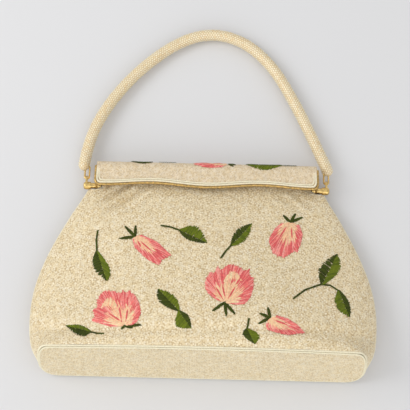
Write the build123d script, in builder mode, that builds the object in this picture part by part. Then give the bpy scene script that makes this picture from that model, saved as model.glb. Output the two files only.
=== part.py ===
from build123d import *
from math import cos, radians, sin, tan
import os

os.makedirs("parts", exist_ok=True)

# Driving sizes in millimetres: X runs across the purse, Y from the base to the handle, Z out of the front
bag_width = 276.0
bag_height = 174.0
base_depth = 54.0
base_lean = 17.0
fabric = 2.0
board_gap = 1.5
board_thick = 1.6
piping_size = 2.0
seat_gap = 0.1
trim_depth = 1.2

# Driving sizes of the metal frame and the hinge
frame_sheet = 1.3
frame_gap = 0.3
frame_half = 89.2
lobe_radius = 3.2
hinge_height = 10.0
post_radius = 1.5
running_gap = 0.05
front_rail_reach = 11.5
front_rail_low = 0.6
front_rail_high = 6.8
rail_seat = 0.216
mouth_drop = 4.0
shoulder_drop = 3.6
fold_length = 16.0
fold_sheet = 1.5
side_room = 3.8
yoke_clear = 2.0
yoke_low = 1.2

# Driving sizes of the lid
lid_rise = 18.0
lid_back = 0.3
lid_front = 26.5
lid_round = 7.0
lid_sheet = 0.8
flap_drop = 3.2
flap_wave = 2.6
flap_end_rise = 0.6
flap_corner = 3.4
trim_width = 1.8
trim_low = 2.6
trim_high = 0.4
cord_width = 1.5
cord_inset = 0.5
cord_high = 0.9

# Driving sizes of the posts, the links and the rope handle
head_radius = 2.6
head_length = 1.2
collar_radius = 2.4
collar_length = 4.4
knob_radius = 3.2
knob_length = 6.0
knob_round = 2.0
eye_rise = 6.0
eye_reach = 3.5
eye_sheet = 1.6
eye_radius = 2.5
eye_hole = 1.1
wire_radius = 0.7
link_half = 1.9
link_length = 11.5
link_slot = 0.1
rope_radius = 5.0

# Route of the rope's centre line from the left link over the arch to the right link
rope_route = [
    (-103.0, 88.5, 9.3),
    (-100.2, 112.0, 8.4),
    (-86.0, 144.0, 7.2),
    (-61.0, 177.0, 6.0),
    (-28.0, 204.8, 5.2),
    (1.5, 214.6, 5.2),
    (31.0, 206.6, 5.2),
    (55.5, 183.0, 5.8),
    (73.0, 151.5, 6.9),
    (90.0, 115.0, 8.2),
    (101.0, 88.5, 9.3),
]
rope_run_share = 0.45

# Cross-sections from the base up: place along the body, lean, width, depth, corner, shoulder and lower edge
section_shares = [
    (0.000, 1.00, 0.934, 1.000, 0.125, 0.926, 0.110),
    (0.079, 0.88, 0.978, 1.074, 0.280, 0.870, 0.120),
    (0.210, 0.70, 1.000, 1.056, 0.370, 0.825, 0.140),
    (0.408, 0.53, 0.989, 0.926, 0.410, 0.800, 0.150),
    (0.605, 0.35, 0.927, 0.759, 0.410, 0.795, 0.145),
    (0.835, 0.18, 0.810, 0.537, 0.390, 0.820, 0.125),
    (1.000, 0.00, 0.712, 0.361, 0.370, 0.865, 0.095),
]
mouth_shares = (0.00, 0.675, 0.306, 0.350, 0.885, 0.080)
seam_base_share = 0.37
seam_mouth_share = 0.17
middle_share = 0.5
fill_steps = 2
flat_steps = 3
bend_steps = 3
crown_steps = 4

# Places that follow from the driving sizes
lean = radians(base_lean)
base_overhang = fabric * cos(lean)
foot_y = -(bag_height - base_overhang) / 2
lid_top = foot_y + bag_height
hinge_y = lid_top - lid_rise
eye_y = hinge_y + eye_rise
body_length = hinge_y - mouth_drop - foot_y
seam_base = seam_base_share * base_depth
seam_mouth = seam_mouth_share * base_depth
seam_slope = (seam_mouth - seam_base) / body_length
mouth_end_share = 1 + (mouth_drop + front_rail_reach - frame_sheet - rail_seat) / body_length
yoke_z = hinge_height + yoke_low
yoke_half = frame_half - yoke_clear
side_clear = frame_half + side_room
front_leg_out = frame_half + frame_sheet
end_plate_in = front_leg_out + frame_gap
end_plate_out = end_plate_in + frame_sheet
collar_end = end_plate_out + collar_length
knob_end = collar_end + knob_length
eye_place = collar_end + eye_reach
lid_half = end_plate_in - seat_gap
flap_low = hinge_y - flap_drop
reach = bag_height

base_plane = Plane(origin=(0, foot_y, 0), x_dir=(1, 0, 0), z_dir=(0, -cos(lean), sin(lean)))
seam_plane = Plane(origin=(0, foot_y, seam_base), x_dir=(1, 0, 0), z_dir=(0, -seam_slope, 1))


def curve_point(pulls, share):
    """The point at one share of the way along the smooth curve that the pull points shape."""
    while len(pulls) > 1:
        pairs = zip(pulls, pulls[1:])
        pulls = [tuple(one + (two - one) * share for one, two in zip(a, b)) for a, b in pairs]
    return pulls[0]


def chain_points(pieces):
    """Points along a chain of curve pieces, each given by its pull points, its last share and its steps."""
    chain = [pieces[0][0][0]]
    for pulls, last, steps in pieces:
        chain += [curve_point(pulls, last * step / steps) for step in range(1, steps + 1)]
    return chain


def smooth_rows(rows):
    """The table of cross-sections with rows set between its own, so that the outline runs in smooth curves."""
    first = [[(b - a) / (two[0] - one[0]) for a, b in zip(one, two)] for one, two in zip(rows, rows[1:])]
    slopes = [first[0]]
    slopes += [[(a + b) / 2 for a, b in zip(one, two)] for one, two in zip(first, first[1:])]
    slopes.append(first[-1])
    filled = []
    for index in range(len(rows) - 1):
        span = rows[index + 1][0] - rows[index][0]
        for step in range(fill_steps):
            share = step / fill_steps
            lines = zip(rows[index], slopes[index], slopes[index + 1], rows[index + 1])
            pulls = [(a, a + one * span / 3, b - two * span / 3, b) for a, one, two, b in lines]
            filled.append(tuple(curve_point([(pull,) for pull in four], share)[0] for four in pulls))
    return filled + [rows[-1]]


def half_outline(row, inset, sink):
    """The right half of one cross-section from the middle of the back to the middle of the front."""
    place, lean_share, width, depth_share, corner, shoulder, edge = row
    turn = radians(lean_share * base_lean)
    run = place * body_length
    full = width * bag_width / 2
    half = full - inset
    depth = depth_share * base_depth
    low = inset - sink
    top = depth - inset
    side = (seam_base + seam_slope * run) / (cos(turn) - seam_slope * sin(turn))
    wide = corner * full
    high = shoulder * depth - inset
    flat = half - edge * full
    inner = half - wide
    rise = high - (top - high) * 2 * wide / inner
    crown = high + (top - high) * 4 / 3
    third = inner / 3
    return chain_points([
        ([(0, low), (flat, low)], 1, flat_steps),
        ([(flat, low), (half, low), (half, side)], 1, bend_steps),
        ([(half, side), (half, rise), (inner, high)], 1, bend_steps),
        ([(inner, high), (third, crown), (-third, crown), (-inner, high)], middle_share, crown_steps),
    ])


section_rows = smooth_rows(section_shares + [(mouth_end_share, *mouth_shares)])


def section_face(row, inset, sink, shift):
    """One closed cross-section of the body on its leaning plane, drawn in by inset and moved up by shift."""
    turn = radians(row[1] * base_lean)
    station = foot_y + row[0] * body_length
    normal = (0, -cos(turn), sin(turn))
    plane = Plane(origin=(0, station, 0), x_dir=(1, 0, 0), z_dir=normal).offset(-shift)
    right = half_outline(row, inset, sink)
    left = [(-across, up) for across, up in reversed(right)]
    with BuildSketch(plane) as section:
        with BuildLine():
            Spline(*right, tangents=((1, 0), (-1, 0)))
            Spline(*left, tangents=((-1, 0), (1, 0)))
        make_face()
    return section.sketch


def body_faces(inset, sink):
    """All the cross-sections at one inset."""
    return [section_face(row, inset, sink, 0) for row in section_rows]


def flap_wire(inset):
    """The wavy outline of the flap's face inside the current line context, drawn in by inset."""
    half = lid_half - inset
    low = flap_low + flap_end_rise + inset
    top = lid_top - lid_round
    bend = flap_corner
    mid = flap_low + inset
    crest = mid + flap_wave
    quarter = half / 2
    left = Line((-half, top), (-half, low + bend))
    corner_left = TangentArc((-half, low + bend), (-half + bend, low), tangent=(0, -1))
    wave = Spline(
        (-half + bend, low), (-quarter, crest), (0, mid), (quarter, crest), (half - bend, low),
        tangents=((1, 0), (1, 0)),
    )
    corner_right = TangentArc((half - bend, low), (half, low + bend), tangent=(1, 0))
    right = Line((half, low + bend), (half, top))
    return [left, corner_left, wave, corner_right, right]


# The whole beaded body as one open shell, before it is parted at the side seams
with BuildPart() as body_shell:
    loft(sections=body_faces(0, trim_depth), ruled=True)
    loft(sections=body_faces(fabric, 0), ruled=True, mode=Mode.SUBTRACT)
    split(bisect_by=Plane.XY, keep=Keep.TOP)

# The clear space that the lid's back and the frame ends swing through
with BuildPart() as mouth_space:
    with Locations((0, hinge_y - fold_length, -reach + yoke_z)):
        Box(2 * side_clear, reach, reach, align=(Align.CENTER, Align.MIN, Align.MIN))
    for sign in (-1, 1):
        with Locations((sign * (yoke_half + reach / 2), hinge_y - shoulder_drop, 0)):
            Box(reach, reach, 2 * reach, align=(Align.CENTER, Align.MIN, Align.CENTER))

# Front panel of beaded fabric, from the base seam up to the frame's rail
with BuildPart() as front_panel:
    add(body_shell.part)
    split(bisect_by=seam_plane, keep=Keep.TOP)
    add(mouth_space.part, mode=Mode.SUBTRACT)
front_panel.part.label = "front_panel"
export_step(front_panel.part, "parts/front_panel.step")

# Back panel of beaded fabric, flat where it lies on the table
with BuildPart() as back_panel:
    add(body_shell.part)
    split(bisect_by=seam_plane, keep=Keep.BOTTOM)
    add(mouth_space.part, mode=Mode.SUBTRACT)
back_panel.part.label = "back_panel"
export_step(back_panel.part, "parts/back_panel.step")

# Soft strip of the back that folds when the lid opens
with BuildPart() as back_fold:
    with Locations((0, hinge_y - seat_gap, lid_back)):
        Box(
            2 * yoke_half, fold_length - 2 * seat_gap, fold_sheet,
            align=(Align.CENTER, Align.MAX, Align.MIN),
        )
back_fold.part.label = "back_fold"
export_step(back_fold.part, "parts/back_fold.step")

# Base panel sewn to the end of the body
with BuildPart() as base_panel:
    extrude(section_face(section_shares[0], piping_size + seat_gap, 0, 0), amount=fabric, dir=base_plane.z_dir)
base_panel.part.label = "base_panel"
export_step(base_panel.part, "parts/base_panel.step")

# Double piping round the base seam
ring_out = section_face(section_shares[0], seat_gap, 0, 0)
ring_in = section_face(section_shares[0], piping_size, 0, 0)
with BuildPart() as base_piping:
    extrude(ring_out, amount=piping_size, dir=base_plane.z_dir)
    extrude(ring_in, amount=piping_size, dir=base_plane.z_dir, mode=Mode.SUBTRACT)
    split(bisect_by=Plane.XY, keep=Keep.TOP)
base_piping.part.label = "base_piping"
export_step(base_piping.part, "parts/base_piping.step")

# Stiff board inside the base
board_face = section_face(section_shares[0], fabric + board_gap, 0, board_thick + seat_gap)
with BuildPart() as base_board:
    extrude(board_face, amount=board_thick, dir=base_plane.z_dir)
base_board.part.label = "base_board"
export_step(base_board.part, "parts/base_board.step")

# Front half of the metal frame: two legs on the hinge posts and a rail between them
with BuildPart() as front_frame:
    for place in (frame_half, -frame_half - frame_sheet):
        with BuildSketch(Plane.YZ.offset(place)):
            with Locations((hinge_y, hinge_height)):
                Circle(lobe_radius)
            with Locations((hinge_y + front_rail_reach, hinge_height + front_rail_low)):
                Rectangle(
                    frame_sheet, front_rail_high - front_rail_low, align=(Align.MAX, Align.MIN),
                )
            make_hull()
        extrude(amount=frame_sheet)
    with Locations((0, hinge_y + front_rail_reach, hinge_height + front_rail_low)):
        Box(
            2 * front_leg_out, frame_sheet, front_rail_high - front_rail_low,
            align=(Align.CENTER, Align.MAX, Align.MIN),
        )
    with Locations(Location((0, hinge_y, hinge_height), (0, 90, 0))):
        Cylinder(post_radius + running_gap, 2 * reach, mode=Mode.SUBTRACT)
front_frame.part.label = "front_frame"
export_step(front_frame.part, "parts/front_frame.step")

# Profile of the lid on the end plane: a rounded hood that is open towards the base
hood_low = flap_low - flap_wave


def hood_face(inset, low, half):
    """The hood's profile at one end, drawn in by inset and filled down to low."""
    with BuildSketch(Plane.YZ.offset(-half)) as hood:
        with Locations((lid_top - inset, lid_back + inset)):
            Rectangle(
                lid_top - inset - low, lid_front - lid_back - 2 * inset, align=(Align.MAX, Align.MIN),
            )
        fillet(hood.vertices().group_by(Axis.X)[-1], lid_round - inset)
    return hood.sketch


# Space below the flap's wavy edge and below the end of the lid's back
with BuildPart() as flap_space:
    with BuildSketch(Plane.XY.offset(hinge_height)):
        with BuildLine():
            flap_edges = flap_wire(0)
            Polyline(
                flap_edges[4] @ 1, (lid_half + reach, lid_top - lid_round), (lid_half + reach, hood_low - reach),
                (-lid_half - reach, hood_low - reach), (-lid_half - reach, lid_top - lid_round), flap_edges[0] @ 0,
            )
        make_face()
    extrude(amount=reach)
    with Locations((0, hinge_y, hinge_height)):
        Box(2 * reach, reach, reach, align=(Align.CENTER, Align.MAX, Align.MAX))

# Beaded cover of the lid
with BuildPart() as lid_cover:
    extrude(hood_face(0, hood_low, lid_half), amount=2 * lid_half)
    extrude(hood_face(fabric, hood_low - reach, reach), amount=2 * reach, mode=Mode.SUBTRACT)
    add(flap_space.part, mode=Mode.SUBTRACT)
lid_cover.part.label = "lid_cover"
export_step(lid_cover.part, "parts/lid_cover.step")

# Metal sheet that stiffens the lid from inside
with BuildPart() as lid_plate:
    extrude(hood_face(fabric, hood_low, lid_half), amount=2 * lid_half)
    extrude(hood_face(fabric + lid_sheet, hood_low - reach, reach), amount=2 * reach, mode=Mode.SUBTRACT)
    add(flap_space.part, mode=Mode.SUBTRACT)
lid_plate.part.label = "lid_plate"
export_step(lid_plate.part, "parts/lid_plate.step")

# Gilt rim round the flap's wavy edge and up its ends
with BuildPart() as lid_trim:
    with BuildSketch(Plane.XY.offset(lid_front - trim_low)):
        with BuildLine():
            rim_edges = flap_wire(-trim_width)
            Line(rim_edges[4] @ 1, rim_edges[0] @ 0)
        make_face()
        with BuildLine():
            seat_edges = flap_wire(-seat_gap / 2)
            Line(seat_edges[4] @ 1, seat_edges[0] @ 0)
        make_face(mode=Mode.SUBTRACT)
    extrude(amount=trim_low + trim_high)
lid_trim.part.label = "lid_trim"
export_step(lid_trim.part, "parts/lid_trim.step")

# Pale piping just inside the rim
with BuildPart() as lid_piping:
    with BuildSketch(Plane.XY.offset(lid_front)):
        with BuildLine():
            cord_edges = flap_wire(cord_inset)
            Line(cord_edges[4] @ 1, cord_edges[0] @ 0)
        make_face()
        with BuildLine():
            inner_edges = flap_wire(cord_inset + cord_width)
            Line(inner_edges[4] @ 1, inner_edges[0] @ 0)
        make_face(mode=Mode.SUBTRACT)
    extrude(amount=cord_high)
lid_piping.part.label = "lid_piping"
export_step(lid_piping.part, "parts/lid_piping.step")

# Back half of the metal frame: end plates on the hinge posts and a rail inside the lid
hood_inset = fabric + lid_sheet + seat_gap
hood_bend = lid_round - hood_inset
with BuildPart() as back_frame:
    for place in (end_plate_in, -end_plate_out):
        with BuildSketch(Plane.YZ.offset(place)):
            with Locations((hinge_y, hinge_height)):
                Circle(lobe_radius)
            with Locations((lid_top - lid_round, lid_back + lid_round), (lid_top - lid_round, lid_front - lid_round)):
                Circle(hood_bend)
            with Locations((hinge_y, lid_front - hood_inset)):
                Rectangle(lobe_radius, lobe_radius, align=(Align.MIN, Align.MAX))
            make_hull()
        extrude(amount=frame_sheet)
    with Locations((0, lid_top - hood_inset, lid_back + lid_round)):
        Box(
            2 * end_plate_out, frame_sheet, front_rail_high - front_rail_low,
            align=(Align.CENTER, Align.MAX, Align.MIN),
        )
    with Locations(Location((0, hinge_y, hinge_height), (0, 90, 0))):
        Cylinder(post_radius + running_gap, 2 * reach, mode=Mode.SUBTRACT)
back_frame.part.label = "back_frame"
export_step(back_frame.part, "parts/back_frame.step")


def hinge_post(sign):
    """One hinge post: riveted head, shank, collar, knob, and the eye that carries the link."""
    side = Plane(origin=(0, hinge_y, hinge_height), x_dir=(0, 1, 0), z_dir=(sign, 0, 0))
    with BuildPart() as post:
        with BuildSketch(side.offset(frame_half - head_length - seat_gap)):
            Circle(head_radius)
        extrude(amount=head_length)
        with BuildSketch(side.offset(frame_half - head_length)):
            Circle(post_radius)
        extrude(amount=collar_end - frame_half + head_length)
        with BuildSketch(side.offset(end_plate_out + seat_gap)):
            Circle(collar_radius)
        extrude(amount=collar_end - end_plate_out - seat_gap)
        with BuildSketch(side.offset(collar_end)):
            Circle(knob_radius)
        extrude(amount=knob_end - collar_end)
        fillet(post.faces().sort_by(Axis.X)[-1 if sign > 0 else 0].edges(), knob_round)
        with BuildSketch(side.offset(eye_place - eye_sheet / 2)):
            Circle(eye_radius)
            with Locations((eye_rise, 0)):
                Circle(eye_radius)
            make_hull()
            with Locations((eye_rise, 0)):
                Circle(eye_hole, mode=Mode.SUBTRACT)
        extrude(amount=eye_sheet)
    return post.part


with BuildPart() as left_post:
    add(hinge_post(-1))
left_post.part.label = "left_post"
export_step(left_post.part, "parts/left_post.step")

with BuildPart() as right_post:
    add(hinge_post(1))
right_post.part.label = "right_post"
export_step(right_post.part, "parts/right_post.step")


def link_ring(sign, radius):
    """One oval wire link through the eye, along the rope's lie."""
    start = Vector(sign * eye_place, eye_y, hinge_height)
    tip = Vector(*rope_route[0 if sign < 0 else -1])
    along = Vector(0, tip.Y - start.Y, tip.Z - start.Z).normalized()
    normal = Vector(1, 0, 0).cross(along)
    near = start + along * link_half
    far = start + along * (link_length - link_half)
    with BuildPart() as ring:
        with BuildSketch(Plane(origin=near, x_dir=(1, 0, 0), z_dir=along)):
            with Locations((link_half, 0), (-link_half, 0)):
                Circle(radius)
        extrude(amount=link_length - 2 * link_half)
        with BuildSketch(Plane(origin=near, x_dir=(1, 0, 0), z_dir=along)) as low_end:
            with Locations((link_half, 0)):
                Circle(radius)
        revolve(axis=Axis(near, normal), revolution_arc=-180)
        with BuildSketch(Plane(origin=far, x_dir=(1, 0, 0), z_dir=along)) as high_end:
            with Locations((link_half, 0)):
                Circle(radius)
        revolve(axis=Axis(far, normal), revolution_arc=180)
    return ring.part


with BuildPart() as left_link:
    add(link_ring(-1, wire_radius))
left_link.part.label = "left_link"
export_step(left_link.part, "parts/left_link.step")

with BuildPart() as right_link:
    add(link_ring(1, wire_radius))
right_link.part.label = "right_link"
export_step(right_link.part, "parts/right_link.step")

# Arc radii of the rope from the runs on both sides of each bend
rope_points = [Vector(*point) for point in rope_route]
rope_radii = []
for before, here, after in zip(rope_points, rope_points[1:], rope_points[2:]):
    bend = radians((here - before).get_angle(after - here))
    shorter = min((here - before).length, (after - here).length)
    rope_radii.append(rope_run_share * shorter / tan(bend / 2))
print("rope arc radii", [round(radius, 1) for radius in rope_radii])

# Beaded rope handle with round ends, cut out round the links
with BuildPart() as handle_rope:
    with BuildLine() as rope_path:
        FilletPolyline(*rope_points, radius=rope_radii)
    with BuildSketch(Plane(origin=rope_path.line @ 0, z_dir=rope_path.line % 0)):
        Circle(rope_radius)
    sweep()
    with Locations(rope_route[0], rope_route[-1]):
        Sphere(rope_radius)
    add(link_ring(-1, wire_radius + link_slot), mode=Mode.SUBTRACT)
    add(link_ring(1, wire_radius + link_slot), mode=Mode.SUBTRACT)
handle_rope.part.label = "handle_rope"
export_step(handle_rope.part, "parts/handle_rope.step")
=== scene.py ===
from math import cos, pi, radians, sin, sqrt, tau

import bpy
import numpy as np
from mathutils import Matrix, Vector
from mathutils.bvhtree import BVHTree


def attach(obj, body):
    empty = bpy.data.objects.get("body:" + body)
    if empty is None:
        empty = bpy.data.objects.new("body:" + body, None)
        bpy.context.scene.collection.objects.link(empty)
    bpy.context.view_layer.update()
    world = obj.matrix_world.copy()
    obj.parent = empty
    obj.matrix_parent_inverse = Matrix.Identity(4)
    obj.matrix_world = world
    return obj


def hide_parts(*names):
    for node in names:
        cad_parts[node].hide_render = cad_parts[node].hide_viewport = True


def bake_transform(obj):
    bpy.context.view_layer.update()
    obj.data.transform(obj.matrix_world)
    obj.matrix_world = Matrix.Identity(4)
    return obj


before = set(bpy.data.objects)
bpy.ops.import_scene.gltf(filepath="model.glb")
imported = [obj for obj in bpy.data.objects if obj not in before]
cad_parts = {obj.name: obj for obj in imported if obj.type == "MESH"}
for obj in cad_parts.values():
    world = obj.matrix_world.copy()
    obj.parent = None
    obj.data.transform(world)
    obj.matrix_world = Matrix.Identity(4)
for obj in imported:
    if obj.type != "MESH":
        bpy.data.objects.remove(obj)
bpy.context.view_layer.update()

rng = np.random.default_rng(7)

# Sizes of the CAD model in millimetres
MM = 0.001
BAG_WIDTH = 276.0
BAG_HEIGHT = 174.0
BASE_DEPTH = 54.0
BASE_LEAN = radians(17.0)
FABRIC = 2.0
LID_RISE = 18.0
LID_BACK = 0.3
LID_FRONT = 26.5
LID_ROUND = 7.0
LID_HALF = 90.7
MOUTH_DROP = 4.0
SHOULDER_DROP = 3.6
YOKE_HALF = 87.0
FLAP_DROP = 3.2
FLAP_WAVE = 2.6
FLAP_END_RISE = 0.6
FLAP_CORNER = 3.4
ROPE_RADIUS = 5.0

FOOT_Y = -(BAG_HEIGHT - FABRIC * cos(BASE_LEAN)) / 2
LID_TOP = FOOT_Y + BAG_HEIGHT
HINGE_Y = LID_TOP - LID_RISE
BODY_LENGTH = HINGE_Y - MOUTH_DROP - FOOT_Y
FLAP_LOW = HINGE_Y - FLAP_DROP
SEAM_SHARES = (0.37, 0.17)
SEAM_BASE = SEAM_SHARES[0] * BASE_DEPTH
SEAM_SLOPE = (SEAM_SHARES[1] * BASE_DEPTH - SEAM_BASE) / BODY_LENGTH

# Cross-sections as in the CAD, the first one a little squarer:
# place along the body, lean, width, depth, corner, shoulder, lower edge
SECTION_SHARES = np.array([
    (0.000, 1.00, 0.934, 1.000, 0.070, 0.945, 0.110),
    (0.079, 0.88, 0.978, 1.074, 0.280, 0.870, 0.120),
    (0.210, 0.70, 1.000, 1.056, 0.370, 0.825, 0.140),
    (0.408, 0.53, 0.989, 0.926, 0.410, 0.800, 0.150),
    (0.605, 0.35, 0.927, 0.759, 0.410, 0.795, 0.145),
    (0.835, 0.18, 0.810, 0.537, 0.390, 0.820, 0.125),
    (1.000, 0.00, 0.712, 0.361, 0.370, 0.865, 0.095),
    (1.092, 0.00, 0.675, 0.306, 0.350, 0.885, 0.080),
])

# Route of the rope's centre line, the same points as in the CAD
ROPE_ROUTE = [
    (-103.0, 88.5, 9.3),
    (-100.2, 112.0, 8.4),
    (-86.0, 144.0, 7.2),
    (-61.0, 177.0, 6.0),
    (-28.0, 204.8, 5.2),
    (1.5, 214.6, 5.2),
    (31.0, 206.6, 5.2),
    (55.5, 183.0, 5.8),
    (73.0, 151.5, 6.9),
    (90.0, 115.0, 8.2),
    (101.0, 88.5, 9.3),
]

# The photograph's camera: elevation, roll, distance, target and pixel scale, in millimetres
ELEVATION = radians(73.0)
ROLL = radians(1.4)
DISTANCE = 950.0
TARGET = np.array([-0.8, 54.0, 15.0])
PICTURE = 410
MM_PER_PX = 0.826
FOCAL_PX = DISTANCE / MM_PER_PX
BACK = np.array([0, -cos(ELEVATION), sin(ELEVATION)])
FLAT_RIGHT = np.array([1.0, 0, 0])
FLAT_UP = np.cross(BACK, FLAT_RIGHT)
RIGHT = cos(ROLL) * FLAT_RIGHT + sin(ROLL) * FLAT_UP
UP = -sin(ROLL) * FLAT_RIGHT + cos(ROLL) * FLAT_UP
EYE = TARGET + BACK * DISTANCE


# Values that all materials share: noise detail, ramp stops, spread of roughness, bump depth, and the mask
# level above which the painted hollow shade gives way to bead colour
NOISE_DETAIL = 3.0
RAMP_STOPS = (0.3, 0.7)
ROUGH_SPREAD = 0.1
BUMP_DEPTH = 0.0004
BEAD_EDGE = 0.5


def paint(name, colour, roughness=0.45, metallic=0.0, vary=0.07, grain=260.0, bump=0.0, pit_shade=None):
    """A material of one colour with fine unevenness; a colour given for the pits is laid into the hollows
    between beads as painted shade.
    """
    material = bpy.data.materials.new(name)
    material.use_nodes = True
    nodes, links = material.node_tree.nodes, material.node_tree.links
    shader = nodes["Principled BSDF"]
    shader.inputs["Metallic"].default_value = metallic
    place = nodes.new("ShaderNodeTexCoord")
    noise = nodes.new("ShaderNodeTexNoise")
    noise.inputs["Scale"].default_value = grain
    noise.inputs["Detail"].default_value = NOISE_DETAIL
    links.new(place.outputs["Object"], noise.inputs["Vector"])
    ramp = nodes.new("ShaderNodeValToRGB")
    for element, position, scale in zip(ramp.color_ramp.elements, RAMP_STOPS, (1 - vary, 1 + vary)):
        element.position = position
        element.color = (*[min(1.0, channel * scale) for channel in colour], 1)
    links.new(noise.outputs["Fac"], ramp.inputs["Fac"])
    tint = ramp.outputs["Color"]
    # Painted shade: the pit colour is mixed in where the hollow mask is low, darkening the hollows between
    # beads
    if pit_shade is not None:
        height = nodes.new("ShaderNodeAttribute")
        height.attribute_name = "hollow_shade_mask"
        rise = nodes.new("ShaderNodeMapRange")
        rise.interpolation_type = "SMOOTHSTEP"
        rise.inputs["From Max"].default_value = BEAD_EDGE
        links.new(height.outputs["Fac"], rise.inputs["Value"])
        blend = nodes.new("ShaderNodeMix")
        blend.data_type = "RGBA"
        blend_inputs = [socket for socket in blend.inputs if socket.type == "RGBA"]
        blend_inputs[0].default_value = (*pit_shade, 1)
        links.new(rise.outputs["Result"], blend.inputs[0])
        links.new(tint, blend_inputs[1])
        tint = [socket for socket in blend.outputs if socket.type == "RGBA"][0]
    links.new(tint, shader.inputs["Base Color"])
    level = nodes.new("ShaderNodeMapRange")
    level.inputs["To Min"].default_value = roughness - ROUGH_SPREAD
    level.inputs["To Max"].default_value = roughness + ROUGH_SPREAD
    links.new(noise.outputs["Fac"], level.inputs["Value"])
    links.new(level.outputs["Result"], shader.inputs["Roughness"])
    if bump:
        relief = nodes.new("ShaderNodeBump")
        relief.inputs["Strength"].default_value = bump
        relief.inputs["Distance"].default_value = BUMP_DEPTH
        links.new(noise.outputs["Fac"], relief.inputs["Height"])
        links.new(relief.outputs["Normal"], shader.inputs["Normal"])
    material.diffuse_color = (*colour, 1)
    return material


# Bead colours: painted shade for the hollows between beads, then shades with their roughness, and how often
# each shade comes
PIT_SHADE = (0.56, 0.415, 0.22)
SHADES = (
    ("cream", (0.87, 0.745, 0.507), 0.40),
    ("pale", (0.905, 0.80, 0.59), 0.36),
    ("sand", (0.805, 0.66, 0.405), 0.42),
)
CREAM = [paint(f"bead_{shade}", colour, rough, pit_shade=PIT_SHADE) for shade, colour, rough in SHADES]
# The lid's beads are the body's bead colours darkened as painted shade, and a little pinker
LID_SHADE = np.array([0.905, 0.875, 0.89])
LID_CREAM = [
    paint(f"lid_bead_{shade}", LID_SHADE * colour, rough, pit_shade=LID_SHADE * PIT_SHADE)
    for shade, colour, rough in SHADES
]
CREAM_ODDS = (0.56, 0.26, 0.18)
# Rope bead colours: painted shade for the hollows between beads, then shades with their roughness
ROPE_PIT_SHADE = (0.66, 0.47, 0.23)
HONEY = [
    paint("rope_honey", (0.98, 0.85, 0.61), 0.34, pit_shade=ROPE_PIT_SHADE),
    paint("rope_pale", (0.96, 0.86, 0.65), 0.32, pit_shade=ROPE_PIT_SHADE),
    paint("rope_amber", (0.92, 0.76, 0.49), 0.38, pit_shade=ROPE_PIT_SHADE),
]
HONEY_ODDS = (0.56, 0.27, 0.17)
# Strong noise mottling in the gilt's colour is painted sparkle standing in for glints
GILT = paint("gilt", (0.74, 0.52, 0.20), 0.24, 1.0, vary=0.30, grain=520.0, bump=0.2)
# The rim's gilt is the same metal darkened as painted shade, with strong noise mottling as painted sparkle
SHADED_RIM_GILT = paint("shaded_rim_gilt", (0.60, 0.405, 0.15), 0.38, 1.0, vary=0.35, grain=620.0, bump=0.25)
PIPING = paint("piping", (0.93, 0.845, 0.63), 0.6, vary=0.10, grain=900.0, bump=0.2)
SATIN = paint("lining_satin", (0.72, 0.62, 0.45), 0.42, vary=0.08, grain=340.0, bump=0.1)
BOARD = paint("board", (0.40, 0.32, 0.2), 0.8, vary=0.15, grain=300.0, bump=0.3)


THREAD_GLOSS = 0.15


def thread(name, colour):
    """Embroidery thread with a silky unevenness."""
    material = paint(name, colour, 0.55, vary=0.18, grain=700.0, bump=0.15)
    material.node_tree.nodes["Principled BSDF"].inputs["Specular IOR Level"].default_value = THREAD_GLOSS
    return material


CORAL = [
    thread("thread_coral", (0.80, 0.185, 0.165)),
    thread("thread_coral_deep", (0.68, 0.115, 0.115)),
    thread("thread_coral_pale", (0.88, 0.34, 0.29)),
]
PEACH = [
    thread("thread_peach", (0.88, 0.56, 0.32)),
    thread("thread_apricot", (0.87, 0.44, 0.27)),
    thread("thread_ivory", (0.89, 0.67, 0.41)),
]
LEAF_DARK = [thread("thread_moss", (0.054, 0.070, 0.005)), thread("thread_forest", (0.036, 0.048, 0.004))]
LEAF_LIGHT = [thread("thread_olive", (0.140, 0.175, 0.010)), thread("thread_fern", (0.095, 0.125, 0.008))]


def mesh_object(name, points, faces, materials, picks=None, heights=None):
    """A smooth mesh object from points in millimetres, with a mask for the painted shade in the hollows
    between beads if given: 1 on bead tops, lower in the hollows.
    """
    mesh = bpy.data.meshes.new(name)
    mesh.from_pydata((np.asarray(points) * MM).tolist(), [], np.asarray(faces).tolist())
    for material in materials:
        mesh.materials.append(material)
    if picks is not None:
        mesh.polygons.foreach_set("material_index", np.asarray(picks, dtype=np.int32))
    mesh.polygons.foreach_set("use_smooth", np.ones(len(mesh.polygons), dtype=bool))
    if heights is not None:
        layer = mesh.attributes.new("hollow_shade_mask", "FLOAT", "POINT")
        layer.data.foreach_set("value", np.asarray(heights, dtype=np.float32))
    mesh.update()
    obj = bpy.data.objects.new(name, mesh)
    bpy.context.scene.collection.objects.link(obj)
    return obj


def normals_of(points, faces):
    """Unit normals of the points of a triangle mesh."""
    corner = points[faces]
    face_normals = np.cross(corner[:, 1] - corner[:, 0], corner[:, 2] - corner[:, 0])
    sums = np.zeros_like(points)
    for k in range(3):
        np.add.at(sums, faces[:, k], face_normals)
    return sums / np.maximum(np.linalg.norm(sums, axis=1, keepdims=True), 1e-12)


# The body's cross-sections
OUTLINE_STEPS = 25
PLACE_STEPS = 240


def row_at(place):
    """The table's row at one place along the body, in smooth curves between its rows."""
    table = SECTION_SHARES
    secants = np.diff(table, axis=0) / np.diff(table[:, 0])[:, None]
    slopes = np.vstack([secants[:1], (secants[1:] + secants[:-1]) / 2, secants[-1:]])
    index = int(np.clip(np.searchsorted(table[:, 0], place) - 1, 0, len(table) - 2))
    span = table[index + 1, 0] - table[index, 0]
    share = (place - table[index, 0]) / span
    pulls = [
        table[index],
        table[index] + slopes[index] * span / 3,
        table[index + 1] - slopes[index + 1] * span / 3,
        table[index + 1],
    ]
    return curve(pulls, share)


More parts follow.
